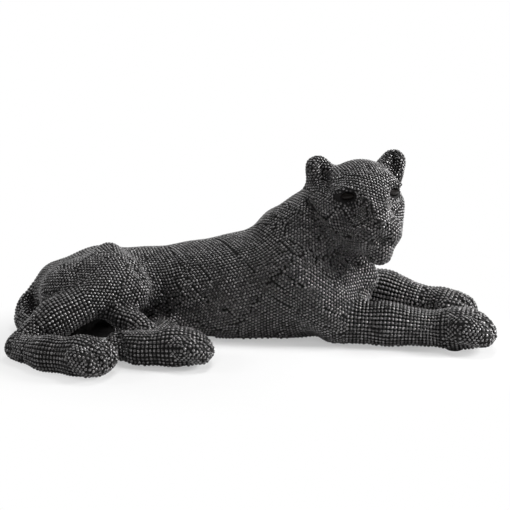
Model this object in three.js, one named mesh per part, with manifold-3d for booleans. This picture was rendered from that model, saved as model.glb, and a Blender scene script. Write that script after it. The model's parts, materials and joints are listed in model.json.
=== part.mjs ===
// A television lamp: a hollow cast panther lies on top of the set, and a lamp inside its flank lights the wall behind.
// Millimetres, +Z up, +X towards the forepaws, +Y towards the wall. The origin is the centre of the footprint.
import * as THREE from "three";
import { mergeVertices } from "three/addons/utils/BufferGeometryUtils.js";
import Module from "manifold-3d";

// ---------------------------------------------------------------- driving dimensions
const FIGURE_LENGTH = 520; // nose-to-tail length of the casting
const MODELLED_LENGTH = 504; // the joints below are placed for a casting this long
const size = FIGURE_LENGTH / MODELLED_LENGTH;
const TORSO_WIDTH = 1.16; // how much wider than deep the trunk is
const BODY_CELL = FIGURE_LENGTH / 48; // facet size on the body
const FOOT_CELL = FIGURE_LENGTH / 70; // facet size on the feet
const HEAD_CELL = FIGURE_LENGTH / 96; // facet size on the head
const CAVITY_CELL = FIGURE_LENGTH / 26; // facet size inside the casting
const JOINT_GAP = 0.3; // between two pieces that touch

const WALL = 7; // thickness of the casting
const FLOOR = 10; // thickness of the casting under the lamp
const PAD = { diameter: 16, thickness: 2, recess: 0.8 }; // felt under the feet
const SPIGOT = { radius: 15, bore: 9, length: 20 }; // joins the head to the neck
const EYE = { length: 18.5, height: 9.4, depth: 7.4, sunk: 1.2 }; // sunk: of its middle below the skin

const LAMP = { x: -10 * size, y: 4 * size, z: 50 * size }; // middle of the lamp, whose axis runs along X
const WINDOW = { length: 152.7, height: 57.8 }; // light opening in the rear flank
const HATCH = { length: 125.9, width: 35.1, lip: 12 }; // way in from below, closed by the base plate
const PLATE = { thickness: 2, depth: 3.2 }; // base plate and how deep its seat is
const BASE_SCREW = { thread: 3, head: 5.8, length: 8 };
const BRACKET = { sheet: 1.5, width: 26, foot: 24, above: 13 };
const BRACKET_SCREW = { thread: 4, head: 7.4, length: 9.5, pitch: 16, nut: 7 };
const NIPPLE = { diameter: 10, bore: 6.4, length: 20, nut: 14 };
const HOLDER = { diameter: 28, sheet: 0.8, cap: 17, length: 52 }; // screw lampholder for a 14 mm lamp cap
const SWITCH = { shaft: 3, knob: 13, grip: 9, reach: 25, along: 31, inner: 9.5 }; // along, inner: on the holder
const BULB = { diameter: 35, length: 100, cap: 13.6, glass: 0.8 }; // candle lamp
const TERMINAL = { length: 20, width: 17, height: 12.5, way: 8 };
const LEAD = 1.8; // diameter over the insulation
const GROMMET = { x: -44 * size, z: 13, bore: 6.5, groove: 9.5, flange: 13.5, wall: 4.5 };

const wasm = await Module();
wasm.setup();

// ---------------------------------------------------------------- distance fields
// A field is a function (x, y, z) => distance to a surface, negative inside.
const smoothMin = (a, b, soft) => {
  const overlap = Math.max(soft - Math.abs(a - b), 0) / soft;
  return Math.min(a, b) - (overlap * overlap * soft) / 4;
};

// A cone with round ends: radius ra at point a and rb at point b.
function roundCone([ax, ay, az, ra], [bx, by, bz, rb]) {
  const bax = bx - ax, bay = by - ay, baz = bz - az;
  const l2 = bax * bax + bay * bay + baz * baz;
  const rr = ra - rb;
  const a2 = l2 - rr * rr;
  const il2 = 1 / l2;
  return (x, y, z) => {
    const px = x - ax, py = y - ay, pz = z - az;
    const along = px * bax + py * bay + pz * baz;
    const past = along - l2;
    const qx = px * l2 - bax * along, qy = py * l2 - bay * along, qz = pz * l2 - baz * along;
    const x2 = qx * qx + qy * qy + qz * qz;
    const y2 = along * along * l2, z2 = past * past * l2;
    const k = Math.sign(rr) * rr * rr * x2;
    if (Math.sign(past) * a2 * z2 > k) return Math.sqrt(x2 + z2) * il2 - rb;
    if (Math.sign(along) * a2 * y2 < k) return Math.sqrt(x2 + y2) * il2 - ra;
    return (Math.sqrt(x2 * a2 * il2) + along * rr) * il2 - ra;
  };
}

// An ellipsoid with its radii along x, y and z.
function ellipsoid([cx, cy, cz], [rx, ry, rz]) {
  return (x, y, z) => {
    const ux = (x - cx) / rx, uy = (y - cy) / ry, uz = (z - cz) / rz;
    const k0 = Math.hypot(ux, uy, uz);
    const k1 = Math.hypot(ux / rx, uy / ry, uz / rz);
    return k1 < 1e-9 ? -Math.min(rx, ry, rz) : (k0 * (k0 - 1)) / k1;
  };
}

const blend = (soft, ...fields) => (x, y, z) => fields.reduce((d, f) => smoothMin(d, f(x, y, z), soft), 1e3);
const widen = (factor, centre, field) => (x, y, z) => field(x, centre + (y - centre) / factor, z);
// A limb is a row of joints [x, y, z, radius], joined by round cones.
const limb = (soft, ...joints) => blend(soft, ...joints.slice(1).map((j, i) => roundCone(joints[i], j)));

// ---------------------------------------------------------------- the animal
const trunk = widen(TORSO_WIDTH, 4, blend(14,
  limb(14, [-205, 22, 36, 29.5], [-162, 13, 43, 37], [-112, 8, 42, 38], [-60, 5, 43, 44], [-12, 3, 47, 49.5],
    [28, 0, 53, 53], [72, -3, 54, 45], [91, -5, 51, 38]),
  limb(14, [-100, 4, 21, 33], [-66, 2, 22, 37], [-12, 0, 25, 44], [40, -2, 27, 42], [80, -2, 30, 34]),
));
const neck = limb(10, [38, -4, 81, 41.5], [64, -8, 103, 41.5], [92, -16, 125, 43]);
const nearShoulder = limb(14, [29, -13, 109, 18], [44, -38, 74, 29], [70, -48, 44, 27], [90, -51, 22, 22]);
const farShoulder = limb(14, [29, 13, 107, 18], [46, 36, 74, 29], [76, 49, 46, 29], [94, 52, 28, 26]);
const paw = ([x, y, z], [ux, uy], length, width, height) => {
  const heel = [x, y, z, width * 0.46];
  const toes = [-1.5, -0.5, 0.5, 1.5].map((k) => {
    const tip = length - Math.abs(k) * 3.5;
    const side = k * width * 0.255;
    const at = (f) => [x + ux * f - uy * side, y + uy * f + ux * side];
    return limb(3, [...at(tip * 0.3), z + 4, height * 0.34], [...at(tip * 0.8), z + 1, height * 0.27],
      [...at(tip), z - 3.5, height * 0.25]);
  });
  const ball = [x + ux * length * 0.45, y + uy * length * 0.45, z - 1, width * 0.4];
  return blend(4, limb(1, heel, ball), blend(1.5, ...toes));
};
const nearForeleg = blend(9,
  limb(14, [90, -51, 20, 21], [140, -58, 19, 20], [196, -68, 17, 17.5]),
  paw([208, -74, 20], [0.985, -0.17], 32, 46, 40),
);
const farForeleg = blend(9,
  limb(14, [92, 52, 31, 25], [148, 45, 23.5, 23], [200, 24, 16, 17]),
  paw([209, 19, 16], [0.93, -0.36], 32, 44, 32),
);
const haunch = blend(18,
  ellipsoid([-166, -32, 46], [50, 36, 36]),
  limb(8, [-150, -8, 79, 14.5], [-140, -42, 60, 27], [-122, -56, 54, 20]),
  limb(10, [-200, 4, 36, 27], [-184, -36, 40, 28]),
  limb(10, [-188, 8, 22, 27], [-150, -16, 20, 28]),
);
const nearShank = limb(12, [-142, -60, 57, 20], [-196, -84, 33, 17], [-227, -101, 14, 11.5]);
const nearFoot = blend(8,
  limb(10, [-230, -109, 11, 12], [-192, -136, 12, 16.5], [-162, -153, 15, 18.5]),
  paw([-158, -152, 16], [0.87, -0.49], 25, 42, 32),
);
const farKnee = limb(8, [-96, -34, 7, 16], [-88, -64, 8, 14], [-104, -98, 10, 13]);
const farFoot = blend(8,
  limb(10, [-130, -108, 13, 14], [-104, -119, 12, 15.5], [-76, -125, 15, 18]),
  paw([-72, -124, 16], [1, 0.04], 30, 42, 34),
);
// The tail runs round behind the heel, passes under the thigh and ends in an arch over the far foot.
const tail = limb(6, [-208, 26, 42, 16], [-228, 18, 34, 11], [-241, 5, 22, 10], [-241, -14, 10, 10],
  [-223, -42, 9, 10], [-190, -54, 12, 10], [-150, -44, 14, 14]);
const tailEnd = limb(6, [-150, -62, 38, 9], [-131, -81, 34, 9.5], [-115, -88, 31, 9.5], [-102, -96, 23, 9], [-107, -108, 15, 8]);

// The head has its own frame: forwards, to its right and up from the middle of the skull.
const SKULL = [114, -22, 146];
const FACE_TURN = (77 * Math.PI) / 180; // from +X towards the room
const HEAD_TILT = (2.5 * Math.PI) / 180; // the left ear is held a little higher
const face = { x: Math.cos(FACE_TURN), y: -Math.sin(FACE_TURN) };
const tilt = { cos: Math.cos(HEAD_TILT), sin: Math.sin(HEAD_TILT) };
const inHead = (field) => (x, y, z) => {
  const px = x - SKULL[0], py = y - SKULL[1], pz = z - SKULL[2];
  const side = px * face.y - py * face.x;
  return field(px * face.x + py * face.y, side * tilt.cos - pz * tilt.sin, side * tilt.sin + pz * tilt.cos);
};
function headPoint([f, r, u]) {
  const side = r * tilt.cos + u * tilt.sin, rise = u * tilt.cos - r * tilt.sin;
  const at = [face.x * f + face.y * side, face.y * f - face.x * side, rise];
  return new THREE.Vector3(...at.map((v, i) => (v + SKULL[i]) * size));
}
const pair = (make) => [make(1), make(-1)];
const carve = (soft, field, ...tools) => (x, y, z) =>
  -tools.reduce((d, t) => smoothMin(d, t(x, y, z), soft), -field(x, y, z));
const skull = blend(10,
  ellipsoid([-2, 1, 0], [38, 39, 37]),
  ellipsoid([-26, 12, -2], [22, 26, 26]),
  ellipsoid([18, 0, 9], [25, 29, 22]),
  limb(8, [24, 0, 10, 15], [50, 0, -9, 11]),
  ...pair((side) => limb(6, [25, 17 * side, 13, 9], [29, 25 * side, 10, 7])),
  ...pair((side) => limb(8, [4, 23 * side, -12, 20], [30, 16 * side, -32, 15])),
  ...pair((side) => ellipsoid([43, 11 * side, -28], [18, 14, 15])),
  limb(6, [16, 0, -34, 18], [42, -4, -50.5, 12.5]),
);
const muzzled = blend(3, skull, ellipsoid([57, 0, -17], [8, 9, 6.5]));
const EYE_RISE = 7.4; // of the eyes above the middle of the skull
const sockets = pair((side) => ellipsoid([40, 27 * side, EYE_RISE], [13, 12, 7.2]));
const ears = pair((side) => limb(4, [-20, 33 * side, 14, 17], [-18, 41 * side, 30, 12.5]));
const earHollows = pair((side) => ellipsoid([1, 38 * side, 15], [12, 9, 20]));
const head = inHead(carve(4, blend(5, muzzled, ...ears), ...sockets, ...earHollows));

const bodyField = (() => {
  const core = blend(12, trunk, neck, nearShoulder, farShoulder, haunch);
  return blend(4, blend(10, core, nearForeleg, farForeleg, nearShank), nearFoot, farKnee, farFoot, tail, tailEnd);
})();
const headField = blend(12, neck, head);

// ---------------------------------------------------------------- surface of a field
const scaled = (field) => (x, y, z) => field(x / size, y / size, z / size) * size;

// Naive surface nets: one vertex in each cell that the surface crosses, then two steps along the gradient onto it.
function surfaceOf(field, low, high, cell) {
  const n = low.map((l, i) => Math.ceil((high[i] - l) / cell) + 1);
  const index = (i, j, k) => i + n[0] * (j + n[1] * k);
  const value = new Float64Array(n[0] * n[1] * n[2]);
  for (let k = 0; k < n[2]; k++)
    for (let j = 0; j < n[1]; j++)
      for (let i = 0; i < n[0]; i++)
        value[index(i, j, k)] = field(low[0] + i * cell, low[1] + j * cell, low[2] + k * cell);

  // A face whose diagonal corners are alike would pinch the surface, so one of its outer corners goes inside.
  for (let changed = true; changed; ) {
    changed = false;
    for (let k = 0; k < n[2] - 1; k++)
      for (let j = 0; j < n[1] - 1; j++)
        for (let i = 0; i < n[0] - 1; i++)
          for (const [u, v] of [[[1, 0, 0], [0, 1, 0]], [[0, 1, 0], [0, 0, 1]], [[1, 0, 0], [0, 0, 1]]]) {
            const at = [[0, 0], [1, 0], [1, 1], [0, 1]].map(([a, b]) =>
              index(i + a * u[0] + b * v[0], j + a * u[1] + b * v[1], k + a * u[2] + b * v[2]));
            const inside = at.map((q) => value[q] < 0);
            if (inside[0] !== inside[2] || inside[1] !== inside[3] || inside[0] === inside[1]) continue;
            const outer = inside[0] ? [at[1], at[3]] : [at[0], at[2]];
            value[value[outer[0]] < value[outer[1]] ? outer[0] : outer[1]] = -1e-3 * cell;
            changed = true;
          }
  }

  const corners = [[0, 0, 0], [1, 0, 0], [0, 1, 0], [1, 1, 0], [0, 0, 1], [1, 0, 1], [0, 1, 1], [1, 1, 1]];
  const edges = [[0, 1], [2, 3], [4, 5], [6, 7], [0, 2], [1, 3], [4, 6], [5, 7], [0, 4], [1, 5], [2, 6], [3, 7]];
  const vertexOf = new Int32Array(value.length).fill(-1);
  const points = [];
  for (let k = 0; k < n[2] - 1; k++)
    for (let j = 0; j < n[1] - 1; j++)
      for (let i = 0; i < n[0] - 1; i++) {
        const v = corners.map(([a, b, c]) => value[index(i + a, j + b, k + c)]);
        const crossed = edges.filter(([a, b]) => v[a] < 0 !== v[b] < 0);
        if (!crossed.length) continue;
        const sum = [0, 0, 0];
        for (const [a, b] of crossed) {
          const t = v[a] / (v[a] - v[b]);
          for (let d = 0; d < 3; d++) sum[d] += corners[a][d] + t * (corners[b][d] - corners[a][d]);
        }
        vertexOf[index(i, j, k)] = points.length;
        points.push([i, j, k].map((q, d) => low[d] + cell * (q + sum[d] / crossed.length)));
      }

  const step = 0.2;
  for (const p of points)
    for (let pass = 0; pass < 2; pass++) {
      const d = field(...p);
      const slope = [0, 1, 2].map((axis) => {
        const q = [...p];
        q[axis] += step;
        return (field(...q) - d) / step;
      });
      const steep = slope[0] ** 2 + slope[1] ** 2 + slope[2] ** 2;
      if (steep < 0.2) continue;
      const move = Math.max(-cell / 3, Math.min(cell / 3, d / steep));
      for (let axis = 0; axis < 3; axis++) p[axis] -= move * slope[axis];
    }

  const triangles = [];
  const quad = (a, b, c, d, flip) => {
    const [p, q, r, s] = flip ? [a, d, c, b] : [a, b, c, d];
    const far = (m, o) => Math.hypot(...points[m].map((v, i) => v - points[o][i]));
    if (far(p, r) < far(q, s)) triangles.push(p, q, r, p, r, s);
    else triangles.push(q, r, s, q, s, p);
  };
  for (let k = 1; k < n[2] - 1; k++)
    for (let j = 1; j < n[1] - 1; j++)
      for (let i = 1; i < n[0] - 1; i++) {
        const here = value[index(i, j, k)] < 0;
        const v = (a, b, c) => vertexOf[index(i - a, j - b, k - c)];
        if (here !== value[index(i + 1, j, k)] < 0) quad(v(0, 1, 1), v(0, 0, 1), v(0, 0, 0), v(0, 1, 0), !here);
        if (here !== value[index(i, j + 1, k)] < 0) quad(v(1, 0, 1), v(1, 0, 0), v(0, 0, 0), v(0, 0, 1), !here);
        if (here !== value[index(i, j, k + 1)] < 0) quad(v(1, 1, 0), v(0, 1, 0), v(0, 0, 0), v(1, 0, 0), !here);
      }
  const geometry = new THREE.BufferGeometry();
  geometry.setAttribute("position", new THREE.Float32BufferAttribute(points.flat(), 3));
  geometry.setIndex(triangles);
  geometry.userData.closed = true;
  return geometry;
}

// ---------------------------------------------------------------- solids
function solid(geometry) {
  const bare = geometry.clone();
  bare.deleteAttribute("normal");
  bare.deleteAttribute("uv");
  const merged = geometry.userData.closed ? bare : mergeVertices(bare, 1e-4);
  return new wasm.Manifold(new wasm.Mesh({
    numProp: 3,
    vertProperties: new Float32Array(merged.attributes.position.array),
    triVerts: new Uint32Array(merged.index.array),
  }));
}
function geometryOf(made) {
  const mesh = made.getMesh();
  const geometry = new THREE.BufferGeometry();
  geometry.setAttribute("position", new THREE.BufferAttribute(new Float32Array(mesh.vertProperties), 3));
  geometry.setIndex(new THREE.BufferAttribute(new Uint32Array(mesh.triVerts), 1));
  return geometry;
}
const box = (low, high) =>
  solid(new THREE.BoxGeometry(...high.map((h, i) => h - low[i])).translate(...high.map((h, i) => (h + low[i]) / 2)));

const union = (...all) => all.reduce((a, b) => a.add(b));
const X = new THREE.Vector3(1, 0, 0);
const Y = new THREE.Vector3(0, 1, 0);
const Z = new THREE.Vector3(0, 0, 1);

// Turns a shape made along +Z to run along an axis and moves it to its place.
function placed(geometry, at, axis = Z) {
  geometry.applyQuaternion(new THREE.Quaternion().setFromUnitVectors(Z, axis));
  return geometry.translate(...at);
}

// A closed profile of [radius, height] points, turned round +Z.
function turned(profile, sides = 24) {
  const points = [];
  const starts = [];
  for (const [r, h] of profile) {
    starts.push(points.length / 3);
    const count = r < 1e-6 ? 1 : sides;
    for (let i = 0; i < count; i++) {
      const a = (2 * Math.PI * i) / sides;
      points.push(r * Math.cos(a), r * Math.sin(a), h);
    }
  }
  const at = (row, i) => starts[row] + (profile[row][0] < 1e-6 ? 0 : i % sides);
  const triangles = [];
  const facet = (a, b, c) => {
    if (a !== b && b !== c && a !== c) triangles.push(a, b, c);
  };
  for (let row = 0; row < profile.length; row++) {
    const next = (row + 1) % profile.length;
    for (let i = 0; i < sides; i++) {
      facet(at(row, i), at(row, i + 1), at(next, i + 1));
      facet(at(row, i), at(next, i + 1), at(next, i));
    }
  }
  const geometry = new THREE.BufferGeometry();
  geometry.setAttribute("position", new THREE.Float32BufferAttribute(points, 3));
  geometry.setIndex(triangles);
  return geometry;
}
const rod = (radius, from, to, sides = 20) => turned([[0, from], [radius, from], [radius, to], [0, to]], sides);
const ring = (outer, inner, from, to, sides = 24) =>
  turned([[inner, from], [outer, from], [outer, to], [inner, to]], sides);

// A flat outline, drawn up +Z.
function drawnUp(shape, from, to, curve = 10) {
  const geometry = new THREE.ExtrudeGeometry(shape, { depth: to - from, bevelEnabled: false, curveSegments: curve });
  return geometry.translate(0, 0, from);
}
function stadium(length, width) {
  const r = width / 2, half = length / 2 - r;
  const shape = new THREE.Shape();
  shape.absarc(half, 0, r, -Math.PI / 2, Math.PI / 2, false);
  shape.absarc(-half, 0, r, Math.PI / 2, (3 * Math.PI) / 2, false);
  shape.closePath();
  return shape;
}

// A round lead along a smooth path.
function cable(path, diameter, sides = 8, steps = 40) {
  const curve = new THREE.CatmullRomCurve3(path.map((p) => new THREE.Vector3(...p)), false, "centripetal");
  const frames = curve.computeFrenetFrames(steps, false);
  const points = [];
  const triangles = [];
  for (let i = 0; i <= steps; i++) {
    const middle = curve.getPointAt(i / steps);
    for (let j = 0; j < sides; j++) {
      const a = (2 * Math.PI * j) / sides;
      const p = middle.clone()
        .addScaledVector(frames.normals[i], (Math.cos(a) * diameter) / 2)
        .addScaledVector(frames.binormals[i], (Math.sin(a) * diameter) / 2);
      points.push(p.x, p.y, p.z);
    }
  }
  const at = (i, j) => i * sides + (j % sides);
  for (let i = 0; i < steps; i++)
    for (let j = 0; j < sides; j++) {
      triangles.push(at(i, j), at(i, j + 1), at(i + 1, j + 1), at(i, j), at(i + 1, j + 1), at(i + 1, j));
    }
  for (let j = 1; j < sides - 1; j++) {
    triangles.push(at(0, 0), at(0, j + 1), at(0, j));
    triangles.push(at(steps, 0), at(steps, j), at(steps, j + 1));
  }
  const geometry = new THREE.BufferGeometry();
  geometry.setAttribute("position", new THREE.Float32BufferAttribute(points, 3));
  geometry.setIndex(triangles);
  return geometry;
}

// ---------------------------------------------------------------- finishes
const finish = (color, roughness, metalness = 0) => new THREE.MeshStandardMaterial({ color, roughness, metalness });
const material = {
  resin: () => finish(0x19191b, 0.42),
  eye: () => finish(0x070708, 0.12),
  felt: () => finish(0x2c2d2f, 0.95),
  zinc: () => finish(0xb9bcc0, 0.4, 0.9),
  brass: () => finish(0xb58a3c, 0.35, 0.95),
  ceramic: () => finish(0xe9e4d8, 0.35),
  bakelite: () => finish(0x2a1a12, 0.4),
  glass: () => finish(0xf3efe2, 0.1),
  tungsten: () => finish(0x5a5a5e, 0.5, 0.9),
  rubber: () => finish(0x141414, 0.85),
  brown: () => finish(0x5b3520, 0.6),
  blue: () => finish(0x24436f, 0.6),
  nylon: () => finish(0xe4e1d6, 0.55),
};
const lamp = new THREE.Group();
lamp.name = "television_lamp";
function add(name, made, surface) {
  const mesh = new THREE.Mesh(made.getMesh ? geometryOf(made) : made, surface());
  mesh.name = name;
  lamp.add(mesh);
}
const biggest = (made) => made.decompose().sort((a, b) => b.volume() - a.volume())[0];

// ---------------------------------------------------------------- the casting
const scaledBody = scaled(bodyField);
const scaledHead = scaled(headField);
const sized = (values) => values.map((v) => v * size);
const wholeBody = [
  [[-262, -190, -40], [-34, -86, 40]], // hind feet and the end of the tail
  [[186, -130, -40], [280, 70, 60]], // forepaws
].reduce(refined, solid(surfaceOf(scaledBody, sized([-275, -205, -46]), sized([285, 110, 215]), BODY_CELL)));
const wholeHead = solid(surfaceOf(scaledHead, sized([-40, -120, 20]), sized([190, 60, 215]), HEAD_CELL));
const room = box([-400, -400, 0], [400, 400, 400]);

// Replaces the surface inside a box with one of smaller facets.
function refined(made, [low, high]) {
  const [a, b] = [sized(low), sized(high)];
  const within = (x, y, z) => Math.max(a[0] - x, x - b[0], a[1] - y, y - b[1], a[2] - z, z - b[2]) - 3;
  const fine = surfaceOf((x, y, z) => Math.max(scaledBody(x, y, z), within(x, y, z)),
    a.map((v) => v - 12), b.map((v) => v + 12), FOOT_CELL);
  return made.subtract(box(a, b)).add(solid(fine).intersect(box(a, b)));
}

// The neck is parted by a plane that leans from the nape to the throat, with a spigot on the head.
const neckAt = new THREE.Vector3(92, -15, 112).multiplyScalar(size);
const neckAxis = new THREE.Vector3(0.73, 0, 0.68).normalize();
const onNeck = (geometry) => solid(placed(geometry, neckAt.toArray(), neckAxis));
const slab = (from, to, half) =>
  onNeck(new THREE.BoxGeometry(half * 2, half * 2, to - from).translate(0, 0, (from + to) / 2));

function hollowOf(field, low, high, cell) {
  return biggest(solid(surfaceOf((x, y, z) => field(x, y, z) + WALL, sized(low), sized(high), cell)));
}

function bodyCasting() {
  const inside = hollowOf(scaled(trunk), [-260, -90, -60], [170, 100, 150], CAVITY_CELL)
    .intersect(box([-400, -400, FLOOR], [400, 400, 400]));
  const upright = (shape, from, to) => solid(placed(drawnUp(shape, from, to), [LAMP.x, LAMP.y, 0]));
  const seat = upright(stadium(HATCH.length + HATCH.lip * 2, HATCH.width + HATCH.lip * 2), -5, PLATE.depth);
  const hatch = upright(stadium(HATCH.length, HATCH.width), -5, FLOOR + 6);
  const window = drawnUp(stadium(WINDOW.length, WINDOW.height), 0, 120);
  window.rotateX(-Math.PI / 2).translate(LAMP.x, 14 * size, LAMP.z);
  const atEntry = (radius, from, to) =>
    solid(placed(rod(radius, grommetFace + from, grommetFace + to), [GROMMET.x, 0, GROMMET.z], Y));
  const boss = atEntry(GROMMET.flange / 2 + 4, -GROMMET.wall, -0.2);
  const spotFace = atEntry(GROMMET.flange / 2 + 1, 0, 40);
  const innerFace = atEntry(GROMMET.flange / 2 + 1, -14, -GROMMET.wall);
  const entry = atEntry(GROMMET.groove / 2 + JOINT_GAP, -20, 40);
  const socket = onNeck(rod(SPIGOT.radius + JOINT_GAP, -SPIGOT.length - 1, 5));
  const vent = onNeck(rod(SPIGOT.bore, -SPIGOT.length - 32, 5));
  const recesses = padPlaces.map(([x, y]) =>
    solid(placed(rod(PAD.diameter / 2 + JOINT_GAP, -5, PAD.recess), [x, y, 0])));
  const holes = baseScrewPlaces.map(([x, y]) =>
    solid(placed(rod(BASE_SCREW.thread / 2 + JOINT_GAP, -5, BASE_SCREW.length + 1.4), [x, y, 0], Z)));
  const cast = wholeBody.intersect(room).subtract(slab(0, 90, 75)).subtract(inside);
  const cuts = [seat, hatch, solid(window), spotFace, innerFace, entry, socket, vent, ...recesses, ...holes];
  return cast.add(boss.intersect(wholeBody)).subtract(union(...cuts));
}

function headCasting() {
  const hollow = new THREE.SphereGeometry(1, 18, 10).scale(...sized([28, 29, 27])).translate(...sized(SKULL));
  const spigot = onNeck(rod(SPIGOT.radius, -SPIGOT.length, 4));
  const bore = onNeck(rod(SPIGOT.bore, -SPIGOT.length - 5, 30));
  const cast = wholeHead.intersect(slab(JOINT_GAP, 160, 140)).add(spigot);
  return cast.subtract(union(solid(hollow), bore, ...eyes.map((e) => solid(eyeShape(e, JOINT_GAP)))));
}

// Walks from a point along a direction until it meets the surface of a field.
function surfaceFrom(field, start, direction) {
  const at = new THREE.Vector3(...start);
  for (let i = 0; i < 60; i++) at.addScaledVector(direction, -field(at.x, at.y, at.z) * 0.8);
  return at;
}
const grommetFace = surfaceFrom(scaledBody, [GROMMET.x, LAMP.y, GROMMET.z], Y).y - 5;
const padPlaces = [[206, -75], [206, 20], [-158, -152], [-72, -124], [-180, 2], [78, 0]].map(sized);
const baseScrewPlaces = [[-1, 0], [1, 0], [0, -1], [0, 1]].map(([i, j]) => [
  LAMP.x + i * (HATCH.length / 2 + HATCH.lip / 2), LAMP.y + j * (HATCH.width / 2 + HATCH.lip / 2)]);

// The eyes are polished almonds let into the sockets of the head.
const eyes = [1, -1].map((side) => {
  const from = headPoint([12, 20 * side, EYE_RISE]);
  const towards = (r) => headPoint([13, (20 + r) * side, EYE_RISE]).sub(from).normalize();
  return { side, facing: towards(0.68), at: surfaceFrom(scaledHead, from.toArray(), towards(0.36)) };
});
function eyeShape({ at, facing, side }, grown) {
  const steps = 8;
  const profile = [];
  for (let i = 0; i <= steps; i++) {
    const a = (Math.PI * i) / steps;
    const radius = i % steps ? (Math.sin(a) ** 1.25 * EYE.height) / 2 + grown : 0;
    profile.push([radius, -Math.cos(a) * (EYE.length / 2 + grown)]);
  }
  const geometry = turned(profile, 16);
  geometry.scale(EYE.depth / EYE.height, 1, 1);
  const across = new THREE.Vector3().crossVectors(Z, facing).normalize();
  const up = new THREE.Vector3().crossVectors(facing, across);
  geometry.rotateX(0.12 * side);
  geometry.applyMatrix4(new THREE.Matrix4().makeBasis(facing, up, across.negate()));
  return geometry.translate(...at.clone().addScaledVector(facing, -EYE.sunk).toArray());
}

add("body_casting", biggest(bodyCasting()), material.resin);
add("head_casting", biggest(headCasting()), material.resin);
eyes.forEach((eye) => add(eye.side > 0 ? "right_eye" : "left_eye", eyeShape(eye, 0), material.eye));
padPlaces.forEach(([x, y], i) => {
  const top = PAD.recess - JOINT_GAP;
  add(`felt_pad_${i + 1}`, placed(rod(PAD.diameter / 2, top - PAD.thickness, top, 16), [x, y, 0]), material.felt);
});

// ---------------------------------------------------------------- base plate
const plateTop = PLATE.depth - JOINT_GAP;
const plateUnder = plateTop - PLATE.thickness;
const bracketX = LAMP.x - HATCH.length / 2 + 14;
const bracketScrews = [-1, 1].map((j) => [bracketX + 14, LAMP.y + (j * BRACKET_SCREW.pitch) / 2]);

// A countersunk screw with its flat head down and a slot in it.
function sunkScrew({ thread, head, length }, grown = 0) {
  const r = thread / 2 + grown, h = head / 2 + grown;
  return turned([[0, 0], [h, 0], [r, (head - thread) / 2], [r, length + grown], [0, length + grown]], 12);
}
function screw(kind, [x, y]) {
  const slot = box([-kind.head, -0.5, -1], [kind.head, 0.5, 0.7]);
  return solid(sunkScrew(kind)).subtract(slot).translate([x, y, plateUnder]);
}
function basePlate() {
  const all = (HATCH.lip - JOINT_GAP) * 2;
  const blank = solid(placed(drawnUp(stadium(HATCH.length + all, HATCH.width + all), plateUnder, plateTop),
    [LAMP.x, LAMP.y, 0]));
  const sunk = (kind) => ([x, y]) => solid(placed(sunkScrew(kind, JOINT_GAP), [x, y, plateUnder]));
  const small = baseScrewPlaces.map(sunk(BASE_SCREW));
  const large = bracketScrews.map(sunk(BRACKET_SCREW));
  const block = solid(placed(rod(1.5 + JOINT_GAP, plateUnder - 1, plateTop + 1), [terminalX, LAMP.y, 0]));
  return blank.subtract(union(...small, ...large, block));
}
const terminalX = bracketX + 42;
add("base_plate", basePlate(), material.zinc);
baseScrewPlaces.forEach((at, i) => add(`base_screw_${i + 1}`, screw(BASE_SCREW, at), material.zinc));

// ---------------------------------------------------------------- bracket
const footUnder = plateTop + JOINT_GAP;
const footTop = footUnder + BRACKET.sheet;
function lampBracket() {
  const top = LAMP.z + BRACKET.above, t = BRACKET.sheet, bend = 2.5;
  const side = new THREE.Shape();
  side.moveTo(bend, footUnder);
  side.lineTo(BRACKET.foot, footUnder);
  side.lineTo(BRACKET.foot, footTop);
  side.lineTo(bend, footTop);
  side.absarc(bend, footTop + bend - t, bend - t, -Math.PI / 2, -Math.PI, true);
  side.lineTo(t, top);
  side.lineTo(0, top);
  side.lineTo(0, footUnder + bend);
  side.absarc(bend, footUnder + bend, bend, Math.PI, (3 * Math.PI) / 2, false);
  const sheet = drawnUp(side, -BRACKET.width / 2, BRACKET.width / 2, 4);
  sheet.rotateX(Math.PI / 2).translate(bracketX, LAMP.y, 0);
  const lampHole = solid(placed(rod(NIPPLE.diameter / 2 + JOINT_GAP, -5, 5), [bracketX, LAMP.y, LAMP.z], X));
  const leadHole = solid(placed(rod(4.5, -5, 5), [bracketX, LAMP.y, leadZ], X));
  const holes = bracketScrews.map(([x, y]) =>
    solid(placed(rod(BRACKET_SCREW.thread / 2 + JOINT_GAP, 0, 12), [x, y, 0])));
  const half = BRACKET.width / 2;
  const round = solid(placed(rod(half, -5, 5, 40), [bracketX, LAMP.y, top - half], X));
  const square = box([bracketX - 5, LAMP.y - half - 1, top - half],
    [bracketX + 5, LAMP.y + half + 1, top + 1]);
  return solid(sheet).subtract(square.subtract(round)).subtract(union(lampHole, leadHole, ...holes));
}
const leadZ = footTop + 8.5;
add("lamp_bracket", lampBracket(), material.zinc);
function hexNut(thread, across, thick) {
  const shape = new THREE.Shape();
  for (let i = 0; i < 6; i++) {
    const a = (Math.PI * i) / 3, r = across / 2 / Math.cos(Math.PI / 6);
    shape[i ? "lineTo" : "moveTo"](r * Math.cos(a), r * Math.sin(a));
  }
  shape.closePath();
  const hole = new THREE.Path();
  hole.absarc(0, 0, thread / 2 + JOINT_GAP, 0, Math.PI * 2, true);
  shape.holes.push(hole);
  return drawnUp(shape, 0, thick, 7);
}
bracketScrews.forEach((at, i) => {
  add(`bracket_screw_${i + 1}`, screw(BRACKET_SCREW, at), material.zinc);
  add(`bracket_nut_${i + 1}`, placed(hexNut(BRACKET_SCREW.thread, BRACKET_SCREW.nut, 3.2), [...at, footTop + JOINT_GAP]), material.zinc);
});

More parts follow.
